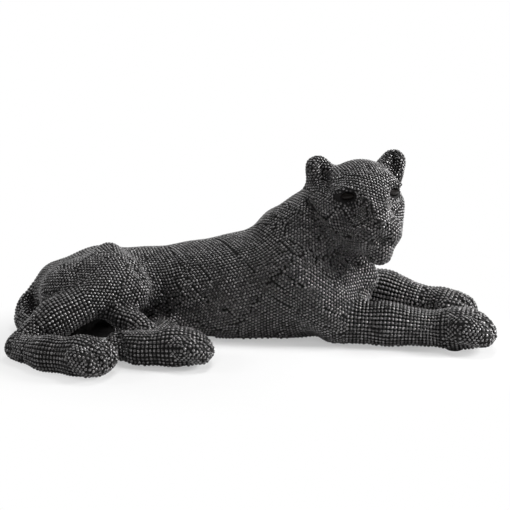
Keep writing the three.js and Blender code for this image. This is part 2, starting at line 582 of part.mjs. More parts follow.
// ---------------------------------------------------------------- lampholder
// Along the lamp axis everything is measured from the face of the bracket, towards the bulb.
const axisZero = bracketX + BRACKET.sheet;
const onAxis = (geometry) => placed(geometry, [axisZero, LAMP.y, LAMP.z], X);
const nippleStart = -BRACKET.sheet - 8;
const nipple = ring(NIPPLE.diameter / 2, NIPPLE.bore / 2, nippleStart, nippleStart + NIPPLE.length);
add("threaded_nipple", onAxis(nipple), material.zinc);
const locknut = hexNut(NIPPLE.diameter, NIPPLE.nut, 3).translate(0, 0, -BRACKET.sheet - JOINT_GAP - 3);
add("nipple_locknut", onAxis(locknut), material.zinc);

const holderRadius = HOLDER.diameter / 2;
const capEnd = HOLDER.cap;
const shellEnd = HOLDER.length;
const neckBore = NIPPLE.diameter / 2 + JOINT_GAP;
const neckOuter = neckBore + 1.7;
const capOuter = holderRadius + JOINT_GAP + 0.1 + 1;
const capInner = holderRadius + JOINT_GAP + 0.1;
add("lampholder_cap", onAxis(turned([
  [neckBore, JOINT_GAP], [neckOuter, JOINT_GAP], [neckOuter, 4.5], [neckOuter + 2, 5.5], [capOuter - 3.4, 8],
  [capOuter - 1.4, 11.5], [capOuter, capEnd - 3.5], [capOuter, capEnd + 3], [capInner, capEnd + 3],
  [capInner, capEnd - 3], [capInner - 1.4, capEnd - 4.8], [capInner - 3.4, 9], [neckBore + 2.7, 7], [neckBore, 7],
], 20)), material.brass);

const onSwitch = (geometry) => placed(geometry, [axisZero + SWITCH.along, LAMP.y, LAMP.z], Y);
const shaftHole = (from) => solid(onSwitch(rod(SWITCH.shaft / 2 + JOINT_GAP, from, holderRadius + 6, 20)));
function lampholderShell() {
  const body = turned([
    [holderRadius - HOLDER.sheet, capEnd - 2], [holderRadius, capEnd - 2], [holderRadius, shellEnd - 2],
    [holderRadius + 0.9, shellEnd - 1], [holderRadius, shellEnd], [holderRadius - HOLDER.sheet, shellEnd],
  ], 24);
  return solid(onAxis(body)).subtract(shaftHole(5));
}
add("lampholder_shell", lampholderShell(), material.brass);

// The insulator carries the threaded sleeve and the centre contact, and has a pocket for the switch.
const sleeve = { outer: BULB.cap / 2 + JOINT_GAP + 0.6, inner: BULB.cap / 2 + JOINT_GAP, from: capEnd + 9.5, to: shellEnd - 7 };
const insulatorRadius = holderRadius - HOLDER.sheet - JOINT_GAP;
function lampholderInsulator() {
  const s = sleeve.outer + JOINT_GAP;
  const body = turned([
    [0, capEnd + 0.5], [insulatorRadius - 2, capEnd + 0.5], [insulatorRadius, capEnd + 2.5], [insulatorRadius, shellEnd - 11],
    [insulatorRadius - 3, shellEnd - 5], [s, shellEnd - 5], [s, sleeve.from - JOINT_GAP], [0, sleeve.from - JOINT_GAP],
  ], 24);
  const leadHoles = [-1, 1].map((j) =>
    solid(onAxis(rod(LEAD / 2 + JOINT_GAP, capEnd - 2, capEnd + 4.5, 16))).translate([0, j * leadPitch, 0]));
  return solid(onAxis(body)).subtract(union(shaftHole(SWITCH.inner - JOINT_GAP), ...leadHoles));
}
const leadPitch = 1.35;
add("lampholder_insulator", lampholderInsulator(), material.ceramic);
add("screw_sleeve", onAxis(ring(sleeve.outer, sleeve.inner, sleeve.from, sleeve.to)), material.brass);
add("centre_contact", onAxis(turned([
  [0, sleeve.from], [4, sleeve.from], [4, sleeve.from + 0.6], [2, sleeve.from + 1.6], [0, sleeve.from + 1.6],
], 20)), material.brass);

// ---------------------------------------------------------------- switch
add("switch_shaft", onSwitch(rod(SWITCH.shaft / 2, SWITCH.inner, SWITCH.reach + 5, 20)), material.brass);
function switchKnob() {
  const outline = new THREE.Shape();
  const flutes = 12, steps = 36;
  for (let i = 0; i < steps; i++) {
    const a = (2 * Math.PI * i) / steps, r = SWITCH.knob / 2 - 0.45 * (1 - Math.cos(a * flutes)) / 2;
    outline[i ? "lineTo" : "moveTo"](r * Math.cos(a), r * Math.sin(a));
  }
  outline.closePath();
  const grip = solid(onSwitch(drawnUp(outline, SWITCH.reach - 2, SWITCH.reach - 2 + SWITCH.grip, 4)));
  const bore = solid(onSwitch(rod(SWITCH.shaft / 2 + 0.15, SWITCH.reach - 5, SWITCH.reach + 5.3, 20)));
  return grip.subtract(bore);
}
add("switch_knob", switchKnob(), material.bakelite);

// ---------------------------------------------------------------- bulb
const bulbStart = sleeve.from + 2; // tip of the bulb's contact
const onBulb = (geometry) => onAxis(geometry.translate(0, 0, bulbStart));
const capRadius = BULB.cap / 2;
const glassNeck = capRadius - 0.9;
add("bulb_cap", onBulb(turned([
  [0, 0], [2.2, 0], [2.6, 1.2], [5.2, 3], [capRadius - 0.5, 4], ...threads(), [capRadius - 0.2, 20], [capRadius + 0.1, 24],
  [capRadius - 0.3, 24], [capRadius - 0.6, 20], [capRadius - 1.3, 17.5], [capRadius - 1.3, 6], [0, 6],
], 16)), material.brass);
function threads() {
  const crests = [];
  for (let i = 0; i < 4; i++) crests.push([capRadius, 5.5 + i * 2.9], [capRadius - 0.6, 7 + i * 2.9]);
  return crests;
}
function bulbGlass() {
  const R = BULB.diameter / 2, g = BULB.glass, end = BULB.length;
  const outer = [[glassNeck, 20], [glassNeck, 24.3], [8, 28], [12.5, 35], [R - 0.7, 46], [R, 54], [R - 2.5, 67],
    [R - 7, 80], [6, 91], [2.2, 97.5], [0, end]];
  const inner = [[0, end - 1.8], [1.7, 96.5], [5.3, 90.4], [R - 7.7, 79.5], [R - 2.5 - g, 66.8], [R - g, 54],
    [R - 0.7 - g, 46.2], [11.8, 35.6], [7.2, 28.4], [glassNeck - g, 24.8], [glassNeck - g, 20]];
  return turned([...outer, ...inner], 18);
}
add("bulb_glass", onBulb(bulbGlass()), material.glass);
add("bulb_stem", onBulb(turned([[0, 7], [3.6, 7], [3.9, 18], [2.6, 26], [1.6, 34], [1.5, 44], [0, 44]], 16)), material.glass);
function filament() {
  const path = [];
  for (let i = 0; i <= 16; i++) {
    const a = (Math.PI * i) / 16;
    path.push([axisZero + bulbStart + 47 + Math.sin(a * 4) ** 2 * 3 + Math.sin(a) * 6, LAMP.y + Math.cos(a) * 7, LAMP.z]);
  }
  const leg = (side) => [
    [axisZero + bulbStart + 44.4, LAMP.y + side * 1.5, LAMP.z],
    [axisZero + bulbStart + 46, LAMP.y + side * 5, LAMP.z],
  ];
  return cable([...leg(1), ...path, ...leg(-1).reverse()], 0.7, 5, 30);
}
add("bulb_filament", filament(), material.tungsten);

// ---------------------------------------------------------------- terminals and leads
const blockUnder = plateTop + JOINT_GAP;
const wayY = (j) => LAMP.y + (j * TERMINAL.way) / 2;
function terminalBlock() {
  const [l, w] = [TERMINAL.length / 2, TERMINAL.width / 2];
  const top = blockUnder + TERMINAL.height;
  const base = box([terminalX - l, LAMP.y - w, blockUnder], [terminalX + l, LAMP.y + w, blockUnder + 7]);
  const tower = (y) => box([terminalX - l + 1, y - 3.4, blockUnder + 6], [terminalX + l - 1, y + 3.4, top]);
  const towers = [-1, 1].map((j) => tower(wayY(j)));
  const bores = [-1, 1].map((j) => solid(placed(rod(1.8, -30, 30, 12), [terminalX, wayY(j), wayZ], X)));
  const well = (x, y) => solid(placed(rod(1.9, wayZ, top + 1, 12), [x, y, 0]));
  const wells = [-1, 1].flatMap((j) => [-5.5, 5.5].map((x) => well(terminalX + x, wayY(j))));
  const fixing = solid(placed(rod(1.5 + JOINT_GAP, 0, 30, 20), [terminalX, LAMP.y, 0]));
  const headRoom = solid(placed(rod(3.1, blockUnder + 4, 30, 24), [terminalX, LAMP.y, 0]));
  return union(base, ...towers).subtract(union(...bores, ...wells, fixing, headRoom));
}
const wayZ = blockUnder + 4.6;
add("terminal_block", biggest(terminalBlock()), material.nylon);
[-1, 1].forEach((j, row) => [-5.5, 5.5].forEach((x, column) => {
  const pin = solid(placed(rod(1.5, wayZ + 1.2, wayZ + 5.6, 16), [terminalX + x, wayY(j), 0]));
  const slot = box([terminalX + x - 2, wayY(j) - 0.3, wayZ + 5], [terminalX + x + 2, wayY(j) + 0.3, wayZ + 7]);
  add(`terminal_screw_${row * 2 + column + 1}`, pin.subtract(slot), material.brass);
}));
add("terminal_fixing_screw", placed(turned([
  [0, plateUnder], [1.5, plateUnder], [1.5, blockUnder + 4.3], [2.7, blockUnder + 4.3],
  [2.7, blockUnder + 5.8], [2, blockUnder + 6.3], [0, blockUnder + 6.3],
], 12), [terminalX, LAMP.y, 0]), material.zinc);

function lead(j) {
  const left = bracketX - 6.5;
  const high = LAMP.z;
  return cable([
    [terminalX - 5, wayY(j), wayZ], [terminalX - 12, wayY(j), wayZ], [terminalX - 22, LAMP.y + j * 3, wayZ + 2],
    [bracketX + 6, LAMP.y + j * 2, leadZ], [bracketX - 1, LAMP.y + j * 1.6, leadZ], [left - 4, LAMP.y + j * 1.5, leadZ + 6],
    [left - 6, LAMP.y + j * 1.5, leadZ + 16], [left - 6, LAMP.y + j * 1.5, high - 12], [left - 4, LAMP.y + j * leadPitch, high - 3],
    [axisZero + nippleStart - 2, LAMP.y + j * leadPitch, high], [axisZero + nippleStart + 4, LAMP.y + j * leadPitch, high],
    [axisZero + capEnd - 3, LAMP.y + j * leadPitch, high], [axisZero + capEnd + 4, LAMP.y + j * leadPitch, high],
  ], LEAD, 7, 28);
}
add("lead_live", lead(-1), material.brown);
add("lead_neutral", lead(1), material.blue);

// ---------------------------------------------------------------- cord entry
const flange = GROMMET.flange / 2, groove = GROMMET.groove / 2;
const back = grommetFace - GROMMET.wall - JOINT_GAP, front = grommetFace + JOINT_GAP;
add("cord_grommet", placed(turned([
  [GROMMET.bore / 2, back - 1.5], [flange - 1, back - 1.8], [flange, back - 1], [flange, back], [groove, back], [groove, front],
  [flange, front], [flange, front + 1], [flange - 1, front + 1.8], [GROMMET.bore / 2, front + 1.5],
], 18), [GROMMET.x, 0, GROMMET.z], Y), material.rubber);

// The origin is the centre of the footprint, on the surface the pads stand on.
const bounds = new THREE.Box3().setFromObject(lamp);
const middle = bounds.getCenter(new THREE.Vector3());
lamp.children.forEach((mesh) => mesh.geometry.translate(-middle.x, -middle.y, -bounds.min.z));
export default lamp;
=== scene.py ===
# %% [markdown]
# # A studded panther that lights the wall behind a television
#
# The lamp is a hollow resin casting of a big cat lying down. Its whole coat is made of small round studs set
# side by side, and behind a window in the far flank sits a candle lamp on a bracket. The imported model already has
# every solid in its right place. This lesson gives those solids their finishes, draws a smooth skin over the two
# castings, and lays nearly seventeen thousand studs on it, row by row.

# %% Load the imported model
import json
import math

import bmesh
import bpy
import numpy as np
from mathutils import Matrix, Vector
from mathutils.bvhtree import BVHTree


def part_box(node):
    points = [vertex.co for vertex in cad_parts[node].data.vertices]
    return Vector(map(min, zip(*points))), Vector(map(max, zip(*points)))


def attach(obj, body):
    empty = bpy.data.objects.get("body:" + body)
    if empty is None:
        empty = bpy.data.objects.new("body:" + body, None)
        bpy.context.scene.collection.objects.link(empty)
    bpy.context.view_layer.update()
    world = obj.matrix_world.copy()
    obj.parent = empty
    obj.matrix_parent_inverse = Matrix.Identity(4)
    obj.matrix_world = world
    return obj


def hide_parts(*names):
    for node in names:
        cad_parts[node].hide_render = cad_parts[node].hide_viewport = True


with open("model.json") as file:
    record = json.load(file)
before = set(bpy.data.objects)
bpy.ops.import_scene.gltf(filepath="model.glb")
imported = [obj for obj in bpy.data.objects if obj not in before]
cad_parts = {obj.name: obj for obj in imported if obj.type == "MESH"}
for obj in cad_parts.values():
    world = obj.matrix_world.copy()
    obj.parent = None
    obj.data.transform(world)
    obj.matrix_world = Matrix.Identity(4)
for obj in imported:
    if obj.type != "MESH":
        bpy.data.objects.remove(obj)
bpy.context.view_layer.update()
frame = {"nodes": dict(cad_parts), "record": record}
node = frame["nodes"]


# %% [markdown]
# ## The sculptor's measure
#
# The figure was modelled along a set of reference points: the shoulders, the paws, the middle of the skull.
# They are written here once in the sculptor's millimetres. The felt pads under the two forepaws are 95 of those
# apart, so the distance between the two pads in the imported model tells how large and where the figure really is.

# %% From the sculptor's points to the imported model
def middle_of(name):
    low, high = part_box(name)
    return (low + high) / 2


PADS_APART = 95.0  # these three in the sculptor's millimetres
PAD_X, PAD_Y = 206, -75
PAD_RECESS = 0.0005  # metres that a pad goes into the sole
pad_near = middle_of("felt_pad_1")
pad_far = middle_of("felt_pad_2")
measure = (pad_near - pad_far).length / PADS_APART
floor_of_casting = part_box("felt_pad_1")[1].z - PAD_RECESS
shift = Vector((pad_near.x - PAD_X * measure, pad_near.y - PAD_Y * measure, floor_of_casting))


def at(x, y, z):
    return Vector((x, y, z)) * measure + shift


def back_to_sculptor(p):
    return (p - shift) / measure


upward = Vector((0, 0, 1))
skull = at(114, -22, 146)
turn = math.radians(77)
tilt = math.radians(2.5)
forward = Vector((math.cos(turn), -math.sin(turn), 0))
level = Vector((-math.sin(turn), -math.cos(turn), 0))
rightward = level * math.cos(tilt) - upward * math.sin(tilt)
crownward = level * math.sin(tilt) + upward * math.cos(tilt)


def in_face(f, r, u):
    return skull + (forward * f + rightward * r + crownward * u) * measure


print("one sculptor's millimetre is", round(measure * 1000, 4), "mm; the skull is at", [round(v, 4) for v in skull])

# %% [markdown]
# ## Small helpers
#
# Blender's operators act on whatever is selected, so each new piece begins with everything deselected.
# A finished piece keeps its object at the origin, with its place in its mesh.

# %% Selecting and finishing
def alone(obj):
    bpy.ops.object.select_all(action="DESELECT")
    obj.select_set(True)
    bpy.context.view_layer.objects.active = obj
    return obj


def apply(obj, kind, **settings):
    alone(obj)
    modifier = obj.modifiers.new(kind.lower(), kind)
    for key, value in settings.items():
        setattr(modifier, key, value)
    bpy.ops.object.modifier_apply(modifier=modifier.name)
    return obj


def copy_of(name, new_name):
    """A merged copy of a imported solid, free to be reshaped."""
    bpy.ops.object.select_all(action="DESELECT")
    obj = bpy.data.objects.new(new_name, node[name].data.copy())
    bpy.context.scene.collection.objects.link(obj)
    obj.data.name = new_name
    alone(obj)
    bpy.ops.object.mode_set(mode="EDIT")
    bpy.ops.mesh.select_all(action="SELECT")
    bpy.ops.mesh.remove_doubles(threshold=1e-6)
    bpy.ops.object.mode_set(mode="OBJECT")
    return obj


def points_of(obj):
    flat = np.empty(len(obj.data.vertices) * 3)
    obj.data.vertices.foreach_get("co", flat)
    return flat.reshape(-1, 3)


def set_points(obj, points):
    obj.data.vertices.foreach_set("co", points.ravel())
    obj.data.update()


# %% [markdown]
# ## Shader maths as plain expressions
#
# A material is a small sum done at every point of a surface. Wrapping a socket in a class lets those sums be
# written with + and *, and each sign adds one Math node. Colours are mixed by a Mix node, since a Math node would
# turn them grey.

# %% A socket that can be added and multiplied
class Value:
    def __init__(self, tree, socket):
        self.tree = tree
        self.socket = socket

    def node(self, kind, settings=None, inputs=None, out=0):
        made = self.tree.nodes.new(kind)
        for key, setting in (settings or {}).items():
            setattr(made, key, setting)
        for key, given in (inputs or {}).items():
            socket = made.inputs[key]
            if isinstance(given, Value):
                self.tree.links.new(given.socket, socket)
            else:
                socket.default_value = given
        return Value(self.tree, made.outputs[out])

    def math(self, operation, *others):
        given = dict(enumerate((self, *others)))
        return self.node("ShaderNodeMath", {"operation": operation}, given)

    def __add__(self, other): return self.math("ADD", other)
    def __radd__(self, other): return self.math("ADD", other)
    def __rsub__(self, other): return (self * -1.0) + other
    def __mul__(self, other): return self.math("MULTIPLY", other)
    def __rmul__(self, other): return self.math("MULTIPLY", other)

    def between(self, low, high):
        """0 up to low, 1 from high, and smooth in the middle."""
        return self.node("ShaderNodeMapRange", {"interpolation_type": "SMOOTHSTEP"},
                         {"Value": self, "From Min": low, "From Max": high})

    def mix(self, first, second):
        """The first colour where this value is 0, the second where it is 1."""
        def colour(given):
            return given if isinstance(given, Value) else (*given, 1)
        return self.node("ShaderNodeMix", {"data_type": "RGBA"},
                         {0: self, 6: colour(first), 7: colour(second)}, out=2)


# %% A new material and the things most of them need
def material(name, **constants):
    made = bpy.data.materials.new(name)
    made.use_nodes = True
    shader = made.node_tree.nodes["Principled BSDF"]
    for key, value in constants.items():
        socket = shader.inputs[key.replace("_", " ")]
        socket.default_value = (*value, 1) if isinstance(value, tuple) and len(value) == 3 else value
    start = Value(made.node_tree, None)
    where = start.node("ShaderNodeTexCoord", out=3)
    return made, shader, where


def feed(shader, name, value):
    value.tree.links.new(value.socket, shader.inputs[name])


def noise(where, scale, detail=3.0, rough=0.55):
    values = {"Vector": where, "Scale": scale, "Detail": detail, "Roughness": rough}
    return where.node("ShaderNodeTexNoise", {}, values)


def bump(height, distance, strength=0.5):
    return height.node("ShaderNodeBump", {}, {"Height": height, "Distance": distance, "Strength": strength})


print("shader helpers ready")

# %% [markdown]
# ## Camera
#
# The figure is looked at from in front and a little above, from far enough away that a long body stays straight.

# %% Place the camera
def look(obj, place, target):
    obj.location = place
    obj.rotation_euler = (target - place).to_track_quat("-Z", "Y").to_euler()


camera_data = bpy.data.cameras.new("camera")
camera_data.lens = 83.22
camera_data.sensor_width = 36
camera = bpy.data.objects.new("camera", camera_data)
bpy.context.scene.collection.objects.link(camera)
look(camera, at(4.2, -1215.5, 370.3), at(4.2, 0, 78.5))
bpy.context.scene.camera = camera
print("camera at", [round(v, 3) for v in camera.location])

# %% [markdown]
# ## Floor and light
#
# A dark glossy coat is read by what it mirrors: each stud shows one small bright spot for each lamp. A key light
# from the right, a top light above the back and two weak ones from the front and the left give every stud a spot
# and leave its sides dark. Together they light it at a plain level, so that a colour looks about as it is written.
# The floor is pale; close to the figure it takes the shadow, and further off it runs out into white.

# %% Lamps, world and floor
def area_lamp(name, place, target, size, watts):
    data = bpy.data.lights.new(name, "AREA")
    data.shape = "SQUARE"
    data.size = size
    data.energy = watts
    lamp = bpy.data.objects.new(name, data)
    bpy.context.scene.collection.objects.link(lamp)
    look(lamp, Vector(place), Vector(target))
    return lamp


area_lamp("key_light", (1.40, -0.25, 0.75), (0.10, 0.0, 0.08), 0.50, 30)
area_lamp("top_light", (0.20, 0.10, 1.45), (0, 0.0, 0.08), 0.45, 8)
area_lamp("front_light", (-0.35, -1.2, 1.2), (0, 0.0, 0.06), 0.25, 3.5)
area_lamp("left_light", (-1.3, -0.2, 0.8), (0, 0.0, 0.06), 0.25, 2.5)

world = bpy.data.worlds.new("studio")
bpy.context.scene.world = world
world.use_nodes = True
tree = world.node_tree
background = tree.nodes["Background"]
background.inputs["Color"].default_value = (1, 1, 1, 1)
rays = Value(tree, None).node("ShaderNodeLightPath")
seen = Value(tree, rays.socket.node.outputs["Is Camera Ray"])
mirrored = Value(tree, rays.socket.node.outputs["Is Glossy Ray"])
glass = Value(tree, rays.socket.node.outputs["Is Transmission Ray"])
direction = rays.node("ShaderNodeTexCoord", out=0)
split = direction.node("ShaderNodeSeparateXYZ", {}, {0: direction}, out=1)
backdrop = split.between(0.0, 0.8) * 0.97 + 0.03
white = seen.math("MAXIMUM", glass).math("MAXIMUM", mirrored * backdrop)
tree.links.new(white.math("MAXIMUM", 0.10).socket, background.inputs["Strength"])

bpy.ops.object.select_all(action="DESELECT")
bpy.ops.mesh.primitive_plane_add(size=40)
floor = bpy.context.object
floor.name = "floor"
pale, shader, where = material("pale_floor", Base_Color=(0.86, 0.86, 0.86), Roughness=0.9)
floor.data.materials.append(pale)
tree = pale.node_tree
rays = Value(tree, None).node("ShaderNodeLightPath")
seen = Value(tree, rays.socket.node.outputs["Is Camera Ray"])
squashed = where.node("ShaderNodeMapping", {}, {"Vector": where, "Scale": (1.5, 2.4, 1.0)})
away = squashed.node("ShaderNodeVectorMath", {"operation": "LENGTH"}, {0: squashed}, out=1)
white = Value(tree, None).node("ShaderNodeEmission", {}, {"Strength": 1.0})
amount = seen * (away.between(0.25, 0.55) * 0.60 + 0.40)
blend = white.node("ShaderNodeMixShader", {}, {0: amount})
tree.links.new(shader.outputs[0], blend.socket.node.inputs[1])
tree.links.new(white.socket, blend.socket.node.inputs[2])
tree.links.new(blend.socket, tree.nodes["Material Output"].inputs["Surface"])
bpy.context.scene.view_settings.view_transform = "Standard"
print("floor and four lamps")

# %% [markdown]
# ## A smooth skin from the two castings
#
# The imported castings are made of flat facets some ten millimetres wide, which is right for weighing and stacking
# but not for looking at. A voxel remesh takes a merged copy of each and rebuilds it from even squares of under
# three millimetres, and a Smooth modifier then rounds the facets away while the large shapes stay. Subdivision
# would round them too, but from uneven triangles it leaves dimples at each corner. The copy is one closed wall
# with its hollow inside, so the window and the room for the lamp come with it.

# %% Remesh and smooth a casting
def smooth_skin(obj, voxel, passes):
    apply(obj, "REMESH", mode="VOXEL", voxel_size=voxel)
    apply(obj, "SMOOTH", factor=0.5, iterations=passes)
    obj.data.shade_smooth()
    return obj


body_shell = smooth_skin(copy_of("body_casting", "body_shell"), 0.0027, 8)
print("body shell:", len(body_shell.data.polygons), "squares")

# %% [markdown]
# The studs run over the joint between head and body without a break, so they are laid on a skin that has no joint:
# both castings joined, then remeshed as one. This skin is only a former, and it is thrown away at the end.

# %% One former for both castings
former = copy_of("body_casting", "former")
head_copy = copy_of("head_casting", "head_copy")
alone(former)
head_copy.select_set(True)
bpy.ops.object.join()
smooth_skin(former, 0.0022, 12)
head_shell = smooth_skin(copy_of("head_casting", "head_shell"), 0.0020, 8)
print("former:", len(former.data.polygons), "squares; head shell:", len(head_shell.data.polygons))

# %% [markdown]
# ## Features pressed into the skin
#
# The mouth, the nostrils and the clefts between the toes are too fine for the castings' facets. A sculptor would
# press them in with a tool. Here a tool is a short row of points with a width and a depth: each point of the skin
# near that row is moved against its normal, most in the middle and nothing at the rim. A negative depth raises a
# ridge instead. The former and the shells get the same presses, so the studs stay seated on the shells.

# %% Press a groove along a row of points
def normals_of(obj):
    flat = np.empty(len(obj.data.vertices) * 3)
    obj.data.vertices.foreach_get("normal", flat)
    return flat.reshape(-1, 3)


def press(obj, row, width, depth):
    points = points_of(obj)
    nearest = np.full(len(points), 1e9)
    for a, b in zip(row, row[1:]):
        a, b = np.array(a), np.array(b)
        along = b - a
        share = np.clip(((points - a) @ along) / (along @ along), 0, 1)
        gap = np.linalg.norm(points - (a + share[:, None] * along), axis=1)
        nearest = np.minimum(nearest, gap)
    fall = np.clip(1 - (nearest / (width * measure)) ** 2, 0, 1) ** 2
    set_points(obj, points - normals_of(obj) * (fall * depth * measure)[:, None])


# %% A row on one smooth bend
def bend(start, corner, end, steps=8):
    """A row that leaves start towards corner and arrives at end from it."""
    shares = [k / steps for k in range(steps + 1)]
    return [tuple((1 - t) ** 2 * a + 2 * t * (1 - t) * b + t * t * c for a, b, c in zip(start, corner, end))
            for t in shares]


print("a bend has", len(bend((0, 0, 0), (1, 0, 0), (1, 1, 0))), "points")

# %% Face: rows of points forwards, to the animal's right and up from the middle of the skull
def on_both(row):
    return [row, [(f, -r, u) for f, r, u in row]]


features = [
    (on_both([(57, 0, -37), (59, 8, -33), (49, 20, -32), (38, 27, -30)]), 4.4, 4.6),  # mouth
    ([[(68, 0, -22), (62, 0, -34)]], 2.8, 2.4),  # from the nose to the lip
    (on_both([(63, 8, -14), (65, 4, -20)]), 4.2, 5.4),  # nostrils
    (on_both([(52, 12, -4), (58, 11, -14), (50, 20, -19)]), 4.5, 1.8),  # between muzzle and cheek
    (on_both([(45, 11, 6), (38, 19, 16), (30, 28, 16), (24, 35, 11)]), 3.6, -2.0),  # brow
    (on_both([(42, 13, 0), (36, 22, -2), (28, 31, -1)]), 3.0, -1.2),  # lower lid
    ([[(52, 0, 0), (36, 0, 22), (16, 0, 36)]], 4.6, 2.2),  # furrow of the forehead
    (on_both([(56, 5, -4), (44, 7, 8), (32, 8, 24)]), 3.8, -2.2),  # ridges beside the furrow
    ([[(66, 0, -14), (64, 5, -14), (64, -5, -14)]], 6.0, -1.8),  # tip of the nose
    (on_both(bend((-10, 38, 38), (-4, 38, 14), (12, 40, 12))), 8.5, 7.5),  # hollow of the ear
]
bare_lines = [(row, 1.9) for row in features[0][0]] + [(row, 2.3) for row in features[2][0]]
for rows, width, depth in features:
    for row in rows:
        for shell in (former, head_shell):
            press(shell, [in_face(*p) for p in row], width, depth)
print("pressed", sum(len(rows) for rows, _, _ in features), "grooves and ridges into the head")

# %% Body: the folds and the clefts between the toes, in the sculptor's points
folds = [
    (bend((58, -40, 140), (72, -76, 110), (110, -34, 76)), 10.0, 8.0),  # behind the jaw
    ([(123, -25, 62), (120, -25, 70), (114, -30, 80)], 20.0, -8.0),  # the chest stands out below the chin
    ([(-122, -44, 84), (-112, -62, 66), (-105, -54, 42)], 8.0, 3.2),  # in front of the haunch
    ([(62, -60, 84), (46, -68, 60), (44, -66, 36)], 9.0, 2.2),  # behind the shoulder
    ([(-184, -62, 12), (-165, -66, 25), (-150, -68, 34)], 10.0, 12.0),  # under the thigh
    ([(-172, -60, 10), (-156, -60, 16), (-147, -58, 20)], 10.0, 12.0),  # and lower down
    ([(-237, -1, 31), (-231, -11, 21), (-224, -24, 15)], 8.0, 9.0),  # between tail and rump
    ([(-131, -113, 26), (-123, -126, 14)], 7.0, 4.0),  # between the hind feet
]
paws = [
    ((208, -74, 20), (0.985, -0.17), 32, 46, 40),
    ((209, 19, 16), (0.93, -0.36), 32, 44, 32),
    ((-158, -152, 16), (0.87, -0.49), 25, 42, 32),
    ((-72, -124, 16), (1, 0.04), 30, 42, 34),
]
for (x, y, z), (ux, uy), length, width, height in paws:
    for k in (-1, 0, 1):
        side = k * width * 0.255
        row = [(x + ux * length * f - uy * side, y + uy * length * f + ux * side, z + height * rise)
               for f, rise in ((0.55, 0.42), (0.95, 0.22), (1.25, -0.1), (1.3, -0.35))]
        folds.append((row, 4.5, 3.0))
for row, width, depth in folds:
    for shell in (former, head_shell, body_shell):
        press(shell, [at(*p) for p in row], width, depth)
print("pressed", len(folds), "folds and clefts into the body")

# %% [markdown]
# ## Where a stud may sit
#
# Studs cover only what is seen from outside. None goes inside the hollow, inside the skull or the neck, under the
# soles, on the eyes, deep under the thigh, or where the cord's rubber grommet sits. To tell the inside of the
# hollow, a ray is cast from the middle of the trunk: a seat that the ray reaches without meeting the wall first is
# on the inner side. The skull's hollow is told by its skin, which faces the middle of the skull.

# %% Rules for a seat
skin = BVHTree.FromObject(former, bpy.context.evaluated_depsgraph_get())
neck = at(92, -15, 112)
neck_axis = Vector((0.73, 0, 0.68)).normalized()
NECK_HALF, NECK_RADIUS = 0.065, 0.020  # of the joint's spigot and its socket
SKULL_HOLLOW = 0.034  # reach of the hollow inside the skull
FACE_REACH = 0.085  # farthest face feature from the middle of the skull
EYE_REACH, EYE_MARGIN = 0.018, 0.0039  # bare rim round each eye
GROMMET_MARGIN = 0.0088  # bare ring round the cord's grommet
HOLLOW_REACH, WALL_GAP = 0.078, 0.003  # of the ray that finds the inside of the trunk
HOLLOW_X, HOLLOW_Y, HOLLOW_Z = (-151, 86), 4, 49  # middle line of the hollow, in the sculptor's millimetres
TRUNK_X, TRUNK_TOP = (-215, 130), 134  # where that ray is asked, in the same
THIGH_X, THIGH_Y, THIGH_TOP = (-186, -142), (-66, -20), 36  # the dark room under the thigh
grommet = middle_of("cord_grommet")
eye_places = []
for name in ("right_eye", "left_eye"):
    eye = copy_of(name, name + "_copy")
    eye_places.append((middle_of(name), BVHTree.FromObject(eye, bpy.context.evaluated_depsgraph_get())))
    bpy.data.objects.remove(eye)
lamp_middle = middle_of("bulb_glass")
bare_places = [([in_face(*q) for q in row], width) for row, width in bare_lines]


def gap_to(p, a, b):
    """How far a point lies from a straight line between two others."""
    along = b - a
    share = min(max((p - a).dot(along) / along.length_squared, 0), 1)
    return (p - a - along * share).length


def seen_from_outside(p, n):
    from_skull = p - skull
    if from_skull.length < SKULL_HOLLOW and from_skull.dot(n) < 0:
        return False
    away = p - neck
    along = away.dot(neck_axis)
    if abs(along) < NECK_HALF and (away - neck_axis * along).length < NECK_RADIUS:
        return False
    if p.y > lamp_middle.y and math.hypot(p.x - grommet.x, p.z - grommet.z) < GROMMET_MARGIN:
        return False
    for place, surface in eye_places:
        if (p - place).length < EYE_REACH and surface.find_nearest(p)[3] < EYE_MARGIN:
            return False
    if from_skull.length < FACE_REACH:
        for places, width in bare_places:
            if min(gap_to(p, a, b) for a, b in zip(places, places[1:])) < width * measure:
                return False
    x, y, z = back_to_sculptor(p)
    if THIGH_X[0] < x < THIGH_X[1] and THIGH_Y[0] < y < THIGH_Y[1] and z < THIGH_TOP:
        return False
    if TRUNK_X[0] < x < TRUNK_X[1] and z < TRUNK_TOP:
        start = at(min(max(x, HOLLOW_X[0]), HOLLOW_X[1]), HOLLOW_Y, HOLLOW_Z)
        ray = p - start
        if ray.length < HOLLOW_REACH:
            hit = skin.ray_cast(start, ray.normalized())
            if hit[0] is None or hit[3] > ray.length - WALL_GAP:
                return False
    return True


HALF_STUD = 0.002


def above_the_table(p, n):
    """Both the crown and the lowest part of the rim clear the table."""
    rim = HALF_STUD * math.sqrt(max(0, 1 - n.z * n.z))
    return p.z + n.z * HALF_STUD > 0.0014 and p.z - rim > 0.0008


print("the former has", len(former.data.vertices), "points to seat studs on")

# %% [markdown]
# ## Laying the studs
#
# A workman would set the first row along the spine and then each next row into the gaps of the one before. The
# code does the same: every stud that is placed looks at its neighbours and offers a seat on each side of every
# pair. A seat is taken if it is not too near another stud. The legs and the tail are different, since there the
# rows run round the limb in rings, so those are laid first from a row of joints, as sleeves.

# %% A set of seats that knows its neighbours
cell = 0.006
seats, seat_normals, pitches, fixed = [], [], [], []
buckets = {}


def bucket(p):
    return (math.floor(p[0] / cell), math.floor(p[1] / cell), math.floor(p[2] / cell))


